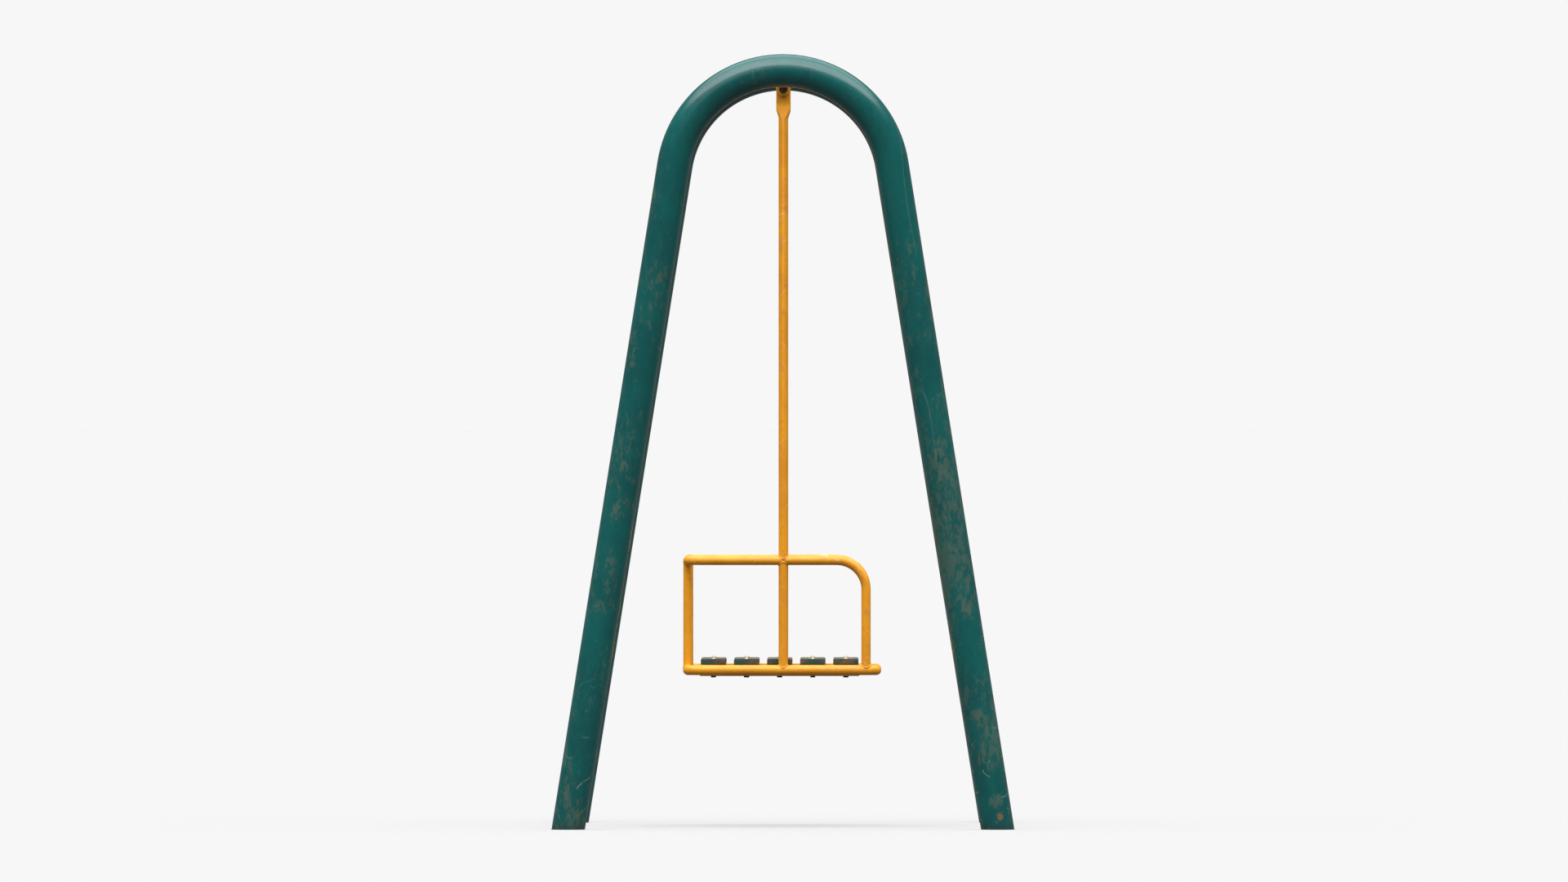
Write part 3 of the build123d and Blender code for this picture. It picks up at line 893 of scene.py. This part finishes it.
class GLIDER_OT_hangers(bpy.types.Operator):
    """Makes the two hanger rods: tube pressed flat at the top, with creases where it flattens"""

    bl_idname = "glider.hangers"
    bl_label = "Hanger rods"

    def execute(self, context):
        shape = context.scene.glider_shape
        radius, half_t = TUBE_D / 2, 2.5 * MM
        half_w, end_r = 19 * MM, 18.8 * MM
        start, flat = shape.press_start, shape.press_end
        levels = [start + (flat - start) * i / 20 for i in range(21)]
        levels += [flat + (PIVOT.z - flat) * i / 4 for i in range(1, 5)]
        levels += [PIVOT.z + end_r * math.sin(math.radians(a)) for a in range(9, 90, 8)]
        deselect()
        bpy.ops.mesh.primitive_circle_add(vertices=96, radius=radius, location=(0, 0, ARM_Z))
        rod = settle()
        edit_mode()
        bpy.ops.mesh.select_all(action="SELECT")
        here = ARM_Z
        for level in levels:
            bpy.ops.mesh.extrude_region_move(TRANSFORM_OT_translate={"value": (0, 0, level - here)})
            here = level
        bpy.ops.mesh.edge_face_add()
        object_mode()
        for vertex in rod.data.vertices:
            x, y, z = vertex.co
            if z <= start:
                continue
            press = min(1.0, (z - start) / (flat - start))
            spread = min(1.0, (z - start) / (27 * MM))
            spread = spread * spread * (3 - 2 * spread)
            wide = radius + (half_w - radius) * spread
            if z > PIVOT.z:
                wide = math.sqrt(max(end_r ** 2 - (z - PIVOT.z) ** 2, (0.7 * MM) ** 2))
            # the press closes like a ramp that eases out at both ends
            thin = radius + (half_t - radius) * (press ** 0.82)
            squeezed = max(-thin, min(thin, y))
            round_off = 1 - 0.06 * (abs(squeezed) / thin) ** 2 * press
            dimple = 0.9 * MM * math.exp(-((z - flat + 6 * MM) / (5 * MM)) ** 2)
            dimple *= math.exp(-(x / radius * 2.2) ** 2)
            vertex.co.x = x / radius * wide * round_off
            vertex.co.y = math.copysign(max(abs(squeezed) - dimple * (abs(y) > 1 * MM), 1.2 * MM), y) \
                if abs(squeezed) > 1.2 * MM else squeezed
        cut_ends(rod, low_mate=(1, 0.0, ARM_Z), low_radius=radius)
        only(rod)
        edit_mode()
        bpy.ops.mesh.select_all(action="SELECT")
        bpy.ops.mesh.fill_holes(sides=0)
        object_mode()
        tidy_mesh(rod)
        cut_away(rod, bar(PIVOT, 8.5 * MM, 0.05, "Y", 64))
        for side_name, side in SIDES.items():
            finish(copied(rod, (0, side * SEAT_Y, 0)), f"hanger_tube_{side_name}", "seat", "orange",
                   "orange_paint", (f"{side_name}_hanger_rod",), smooth=32)
        bpy.data.objects.remove(rod)
        return {"FINISHED"}


class GLIDER_OT_seat_tubes(bpy.types.Operator):
    """Bends the base loop and the armrest hoop, and fits the posts between them"""

    bl_idname = "glider.seat_tubes"
    bl_label = "Seat tubes"

    def execute(self, context):
        shape = context.scene.glider_shape
        corner, bend = shape.loop_corner, shape.hoop_corner
        loop = bent_tube(
            ((BACK_X, -SEAT_Y, LOOP_Z), (LOOP_FRONT_X, -SEAT_Y, LOOP_Z),
             (LOOP_FRONT_X, SEAT_Y, LOOP_Z), (BACK_X, SEAT_Y, LOOP_Z)),
            (corner,) * 4, BASE_D / 2, 56, closed=True,
        )
        finish(loop, "base_loop", "seat", "orange", "orange_paint", ("seat_loop",), smooth=60)

        front, back = FRONT_POST_X, BACK_X
        hoop = bent_tube(
            ((front, -SEAT_Y, LOOP_Z), (front, -SEAT_Y, ARM_Z), (back, -SEAT_Y, ARM_Z),
             (back, SEAT_Y, ARM_Z), (front, SEAT_Y, ARM_Z), (front, SEAT_Y, LOOP_Z)),
            (shape.arm_bend, bend, bend, shape.arm_bend), TUBE_D / 2, 56,
        )
        for vertex in hoop.data.vertices:
            if vertex.co.z < LOOP_Z + 1e-5:
                saddle(vertex, (1, math.copysign(SEAT_Y, vertex.co.y), LOOP_Z), BASE_D / 2, 1)
        add_wall(hoop, shape.seat_wall)
        finish(hoop, "armrest_tube", "seat", "orange", "orange_paint", ("armrest_hoop",), smooth=60)

        for side_name, side in SIDES.items():
            y = side * SEAT_Y
            post = straight_tube((0, y, LOOP_Z), (0, y, ARM_Z), TUBE_D / 2)
            cut_ends(post, (1, y, LOOP_Z), BASE_D / 2, (1, y, ARM_Z), TUBE_D / 2)
            add_wall(post, shape.seat_wall)
            finish(post, f"centre_tube_{side_name}", "seat", "orange", "orange_paint",
                   (f"{side_name}_centre_post",), smooth=60)
            y = side * BACK_POST_Y
            post = straight_tube((BACK_X, y, LOOP_Z), (BACK_X, y, ARM_Z), TUBE_D / 2)
            cut_ends(post, (0, BACK_X, LOOP_Z), BASE_D / 2, (0, BACK_X, ARM_Z), TUBE_D / 2)
            add_wall(post, shape.seat_wall)
            finish(post, f"back_tube_{side_name}", "seat", "orange", "orange_paint",
                   (f"{side_name}_back_post",), smooth=60)
        return {"FINISHED"}


class GLIDER_OT_seat_welds(bpy.types.Operator):
    """Lays the weld beads round the seat's tube joints and along the slat supports"""

    bl_idname = "glider.seat_welds"
    bl_label = "Seat welds"

    def execute(self, context):
        size = context.scene.glider_shape.weld_size
        tube_r, base_r = TUBE_D / 2, BASE_D / 2
        ring = tube_r - 0.7 * MM
        beads = []
        for side in SIDES.values():
            y, back_y = side * SEAT_Y, side * BACK_POST_Y
            for x, place, mate, radius, way in (
                (0, y, (1, y, ARM_Z), tube_r, 1),
                (0, y, (1, y, ARM_Z), tube_r, -1),
                (0, y, (1, y, LOOP_Z), base_r, 1),
                (FRONT_POST_X, y, (1, y, LOOP_Z), base_r, 1),
                (BACK_X, back_y, (0, BACK_X, LOOP_Z), base_r, 1),
                (BACK_X, back_y, (0, BACK_X, ARM_Z), tube_r, -1),
            ):
                beads.append(bead((x, place, mate[2]), ring, size, on_saddle(mate, radius, way)))
            inner = side * (SUPPORT_Y + 15 * MM)
            for x in (-0.17, -0.01, 0.15):
                for z in (-1, 1):
                    start = (x - 12 * MM, inner + side * 3 * MM, LOOP_Z + z * 9.5 * MM)
                    beads.append(stitch(start, (24 * MM, 0, 0), 3.0 * MM))
        finish(join("w", beads), "seat_welds", "seat", "orange", "orange_paint", smooth=180)
        return {"FINISHED"}


class GLIDER_OT_supports(bpy.types.Operator):
    """Makes the two square tubes that carry the slats"""

    bl_idname = "glider.supports"
    bl_label = "Slat supports"

    def execute(self, context):
        for side_name in SIDES:
            node = f"{side_name}_slat_support"
            model, middle = size_of(node), centre_of(node)
            deselect()
            bpy.ops.mesh.primitive_cube_add(size=1, location=middle, scale=model)
            tube = settle()
            edit_mode()
            select_where(tube, lambda centre, normal: abs(normal.x) > 0.9)
            bpy.ops.mesh.delete(type="FACE")
            bpy.ops.mesh.select_mode(type="EDGE")
            bpy.ops.mesh.select_all(action="SELECT")
            bpy.ops.mesh.region_to_loop()
            bpy.ops.mesh.select_all(action="INVERT")
            bpy.ops.mesh.bevel(offset=2.5 * MM, segments=5)
            object_mode()
            add_wall(tube, 2 * MM)
            finish(tube, f"support_tube_{side_name}", "seat", "orange", "orange_paint", (node,))
        return {"FINISHED"}


class GLIDER_OT_slats(bpy.types.Operator):
    """Planes five slats, rounds their edges and hollows them a little where children sit"""

    bl_idname = "glider.slats"
    bl_label = "Slats"

    def execute(self, context):
        shape = context.scene.glider_shape
        for number, node in enumerate(SLAT_NODES):
            model, middle = size_of(node), centre_of(node)
            deselect()
            bpy.ops.mesh.primitive_cube_add(size=1, location=middle, scale=model)
            slat = settle()
            edit_mode()
            bpy.ops.mesh.select_mode(type="EDGE")
            bpy.ops.mesh.select_all(action="DESELECT")
            object_mode()
            for edge in slat.data.edges:
                ends = [slat.data.vertices[i].co for i in edge.vertices]
                edge.select = abs(ends[0].y - ends[1].y) > 0.1
            edit_mode()
            bpy.ops.mesh.bevel(offset=shape.slat_round, segments=5)
            bpy.ops.mesh.select_mode(type="FACE")
            select_where(slat, lambda centre, normal: abs(normal.y) > 0.9)
            bpy.ops.mesh.bevel(offset=1.1 * MM, segments=3)
            steps = 38
            for i in range(1, steps):
                bpy.ops.mesh.select_all(action="SELECT")
                y = middle.y - model.y / 2 + model.y * i / steps
                bpy.ops.mesh.bisect(plane_co=(0, y, 0), plane_no=(0, 1, 0))
            for i in range(1, 8):
                bpy.ops.mesh.select_all(action="SELECT")
                x = middle.x - model.x / 2 + model.x * i / 8
                bpy.ops.mesh.bisect(plane_co=(x, 0, 0), plane_no=(1, 0, 0))
            object_mode()
            top = middle.z + model.z / 2
            for vertex in slat.data.vertices:
                x, y, z = vertex.co
                along = max(0.0, 1 - (y / (0.2 + 0.01 * number)) ** 2)
                high = max(0.0, (z - middle.z) / (top - middle.z))
                ripple = 0.25 * math.sin(31 * y + number * 2.1) + 0.15 * math.sin(83 * y + number)
                worn = shape.slat_wear * (along * (0.8 + ripple) + 0.12 * (1 + ripple))
                over = abs(x - middle.x) / (model.x / 2)
                vertex.co.z -= worn * high * (0.7 + 0.6 * over ** 3)
                if over > 0.8:  # the long edges are knocked and rubbed unevenly
                    nick = 0.28 * MM * math.sin(57 * y + 5 * number) * math.sin(23 * y + number)
                    vertex.co.x -= math.copysign(max(0.0, nick) * high, x - middle.x)
            finish(slat, f"slat_board_{number + 1}", "seat", "slat", "slat_wood", (node,), smooth=50)
        return {"FINISHED"}


class GLIDER_OT_slat_fixings(bpy.types.Operator):
    """Makes the button-head screws on the slats and the thin nuts under the supports"""

    bl_idname = "glider.slat_fixings"
    bl_label = "Slat screws and nuts"

    def execute(self, context):
        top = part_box("slat_1")[1].z
        low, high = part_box("slat_screws")
        head_r, head_h = 7 * MM, high.z - top
        ball = (head_r ** 2 + head_h ** 2) / (2 * head_h)
        deselect()
        bpy.ops.mesh.primitive_uv_sphere_add(
            segments=40, ring_count=36, radius=ball, location=(0, 0, high.z - ball)
        )
        screw = settle()
        edit_mode()
        bpy.ops.mesh.select_all(action="SELECT")
        bpy.ops.mesh.bisect(plane_co=(0, 0, top - 0.4 * MM), plane_no=(0, 0, 1), clear_inner=True,
                            use_fill=True)
        object_mode()
        socket = bar((0, 0, high.z), 5 / math.sqrt(3) * MM, 2 * 2.6 * MM, "Z", 6)
        cut_away(screw, socket)
        shank = bar((0, 0, (top + low.z) / 2), 4 * MM, top - low.z, "Z", 32)
        screw = trimmed(fused(screw, trimmed(shank, 0.6 * MM)), 0.2 * MM)

        nut_low, nut_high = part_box("slat_nuts")
        nut_h = nut_high.z - nut_low.z
        nut = hex_block((0, 0, nut_low.z + nut_h / 2), 13 * MM, nut_h, (0, 0, -1))
        cut_away(nut, bar((0, 0, nut_low.z), 4.02 * MM, 0.02, "Z", 32))
        tidy_mesh(nut)
        screws, nuts = [], []
        for number, node in enumerate(SLAT_NODES):
            for side in SIDES.values():
                place = (centre_of(node).x, side * SUPPORT_Y, 0)
                turn = 0.9 * number + 0.37 * side
                screws.append(copied(turned(screw, turn), place))
                nuts.append(copied(turned(nut, turn * 1.7), place))
        finish(join("s", screws), "button_screws", "seat", "screw", "screw_zinc", ("slat_screws",))
        finish(join("n", nuts), "thin_nuts", "seat", "nut", "nut_steel", ("slat_nuts",))
        for model in (screw, nut):
            bpy.data.objects.remove(model)
        return {"FINISHED"}


def turned(piece, angle):
    """Turns a model screw or nut about its own upright axis, as each one was left by its spanner."""
    only(piece)
    piece.rotation_euler.z = angle
    settle()
    return piece


class GLIDER_OT_stage(bpy.types.Operator):
    """Sets the pale floor, the soft lights and the camera"""

    bl_idname = "glider.stage"
    bl_label = "Stage"

    def execute(self, context):
        look = context.scene.glider_finish
        material, tree, shader = new_material("matt studio floor")
        # Half of the floor's light is its own, as on a lit sweep, so shadows stay faint.
        shader.inputs["Base Color"].default_value = linear(look.floor)
        shader.inputs["Roughness"].default_value = 0.9
        shader.inputs["Specular IOR Level"].default_value = 0.0
        shader.inputs["Emission Color"].default_value = (1, 1, 1, 1)
        shader.inputs["Emission Strength"].default_value = look.floor_glow
        deselect()
        bpy.ops.mesh.primitive_circle_add(vertices=96, radius=400, fill_type="NGON")
        floor = settle()
        floor.name = "floor"
        floor.data.materials.append(material)
        floor.visible_glossy = False
        floor.visible_diffuse = False

        world = bpy.data.worlds.new("studio")
        context.scene.world = world
        world.use_nodes = True
        sky = world.node_tree
        sky.nodes.clear()
        way = add_node(sky, "SeparateXYZ", {0: add_node(sky, "TexCoord").outputs["Generated"]})
        # A wide soft box overhead, brighter towards the front, in a dim even room.
        front = band(sky, way.outputs["Y"], 0.2, -0.2)
        box_light = sum_of(sky, "ADD", sum_of(sky, "MULTIPLY", front, look.overhead_front), look.overhead)
        overhead = sum_of(sky, "MULTIPLY", band(sky, way.outputs["Z"], 0.61, 0.65), box_light)
        room = sum_of(sky, "ADD", overhead, look.room)
        seen = add_node(sky, "LightPath").outputs["Is Camera Ray"]
        strength = add_node(sky, "Mix", {0: seen, 2: room, 3: 0.93}).outputs[0]
        background = add_node(sky, "Background", {"Strength": strength, "Color": [1, 1, 1, 1]})
        add_node(sky, "OutputWorld", {"Surface": background.outputs[0]})

        light = bpy.data.lights.new("key", "SUN")
        light.energy, light.angle = 0.7, math.radians(50)
        lamp = bpy.data.objects.new("key", light)
        lamp.rotation_euler = [math.radians(a) for a in (48, 0, -10)]
        context.collection.objects.link(lamp)

        # A long lens, far back, level with the middle of the object: lines stay square.
        camera_data = bpy.data.cameras.new("camera")
        camera_data.sensor_width, camera_data.lens = 36, 900
        camera = bpy.data.objects.new("camera", camera_data)
        context.collection.objects.link(camera)
        azimuth, rise = math.radians(0.1), math.radians(0.167)
        width, near = 4.2048, ARCH_Y
        distance = width * camera_data.lens / camera_data.sensor_width + near
        target = Vector((0.0015, 0, 1.040))
        back = Vector((math.sin(azimuth) * math.cos(rise), -math.cos(azimuth) * math.cos(rise),
                       math.sin(rise)))
        camera.location = target + back * distance
        camera.rotation_euler = (-back).to_track_quat("-Z", "Y").to_euler()
        camera_data.clip_start, camera_data.clip_end = 1, 2000
        context.scene.camera = camera
        context.scene.view_settings.view_transform = "Standard"
        return {"FINISHED"}


PIECES = (
    GLIDER_OT_stage,
    GLIDER_OT_arches,
    GLIDER_OT_crossbar,
    GLIDER_OT_lugs,
    GLIDER_OT_pivots,
    GLIDER_OT_hangers,
    GLIDER_OT_seat_tubes,
    GLIDER_OT_seat_welds,
    GLIDER_OT_supports,
    GLIDER_OT_slats,
    GLIDER_OT_slat_fixings,
)


class GLIDER_PT_panel(bpy.types.Panel):
    """Lists the swing's sizes, finishes and pieces"""

    bl_idname = "GLIDER_PT_panel"
    bl_label = "Glider Swing"
    bl_space_type = "VIEW_3D"
    bl_region_type = "UI"
    bl_category = "Glider Swing"

    def draw(self, context):
        for group in (context.scene.glider_shape, context.scene.glider_finish):
            box = self.layout.box()
            for key in group.__annotations__:
                box.prop(group, key)
        for piece in PIECES:
            self.layout.operator(piece.bl_idname)


CLASSES = (GLIDER_PG_shape, GLIDER_PG_finish, *PIECES, GLIDER_PT_panel)


def register():
    for cls in CLASSES:
        bpy.utils.register_class(cls)
    bpy.types.Scene.glider_shape = PointerProperty(type=GLIDER_PG_shape)
    bpy.types.Scene.glider_finish = PointerProperty(type=GLIDER_PG_finish)


def unregister():
    del bpy.types.Scene.glider_finish
    del bpy.types.Scene.glider_shape
    for cls in reversed(CLASSES):
        bpy.utils.unregister_class(cls)


def main():
    register()
    look = bpy.context.scene.glider_finish
    MATERIALS.update(
        green=arch_enamel(look),
        orange=seat_enamel(look),
        slat=slat_paint(look),
        bolt=worn_steel("hot-rolled bolt steel, rusted", "#4A4038", "#2E2620", 0.52, 0.42),
        nut=worn_steel("plain nut steel, rusted", "#54463A", "#33281F", 0.56, 0.45),
        washer=worn_steel("zinc-plated washer steel", "#8C8B86", "#6A6864", 0.40, 0.36),
        screw=worn_steel("zinc-plated screw steel", "#B4A98F", "#857962", 0.38, 0.40),
        bronze=bush_bronze(),
    )
    for piece in PIECES:
        group, name = piece.bl_idname.split(".")
        getattr(getattr(bpy.ops, group), name)()


if __name__ == "__main__":
    main()
